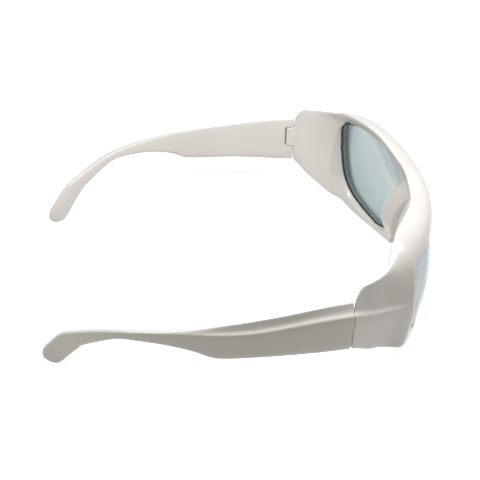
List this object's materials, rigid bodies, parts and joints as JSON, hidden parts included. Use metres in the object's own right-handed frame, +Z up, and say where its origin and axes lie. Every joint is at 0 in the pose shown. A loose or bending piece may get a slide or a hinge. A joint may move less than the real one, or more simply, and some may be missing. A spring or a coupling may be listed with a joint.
{
  "type": "laser safety glasses",
  "caption": "Wrap-around laser eye guard: a moulded front with brow shelf, side shields and nose lobes, curved filter lenses in grooves, and folding hooked temples.",
  "frame": {"origin": "centre of the bounding box, on the surface that the rims and the temple tips rest on", "axes": "+X is the wearer's left, -Y is the way the wearer looks, +Z is up"},
  "size_m": [0.1512, 0.1603, 0.0526],
  "materials": {
    "white_plastic": "polished white injection-moulded plastic",
    "filter_lens": "clear blue-green filter, polished",
    "pin_steel": "drawn wire"
  },
  "bodies": {
    "front": {"frame_front": "white_plastic", "lens_left": "filter_lens", "lens_right": "filter_lens"},
    "left_temple": {"temple_left": "white_plastic", "hinge_pin_left": "pin_steel"},
    "right_temple": {"temple_right": "white_plastic", "hinge_pin_right": "pin_steel"}
  },
  "joints": [
    {"name": "fold_left", "type": "hinge", "parent": "front", "child": "left_temple", "pos_m": [0.0709, -0.03338, 0.0286], "axis": [0, 0, 1], "range_deg": [0, 90]},
    {"name": "fold_right", "type": "hinge", "parent": "front", "child": "right_temple", "pos_m": [-0.0709, -0.03338, 0.0286], "axis": [0, 0, -1], "range_deg": [0, 76]}
  ]
}
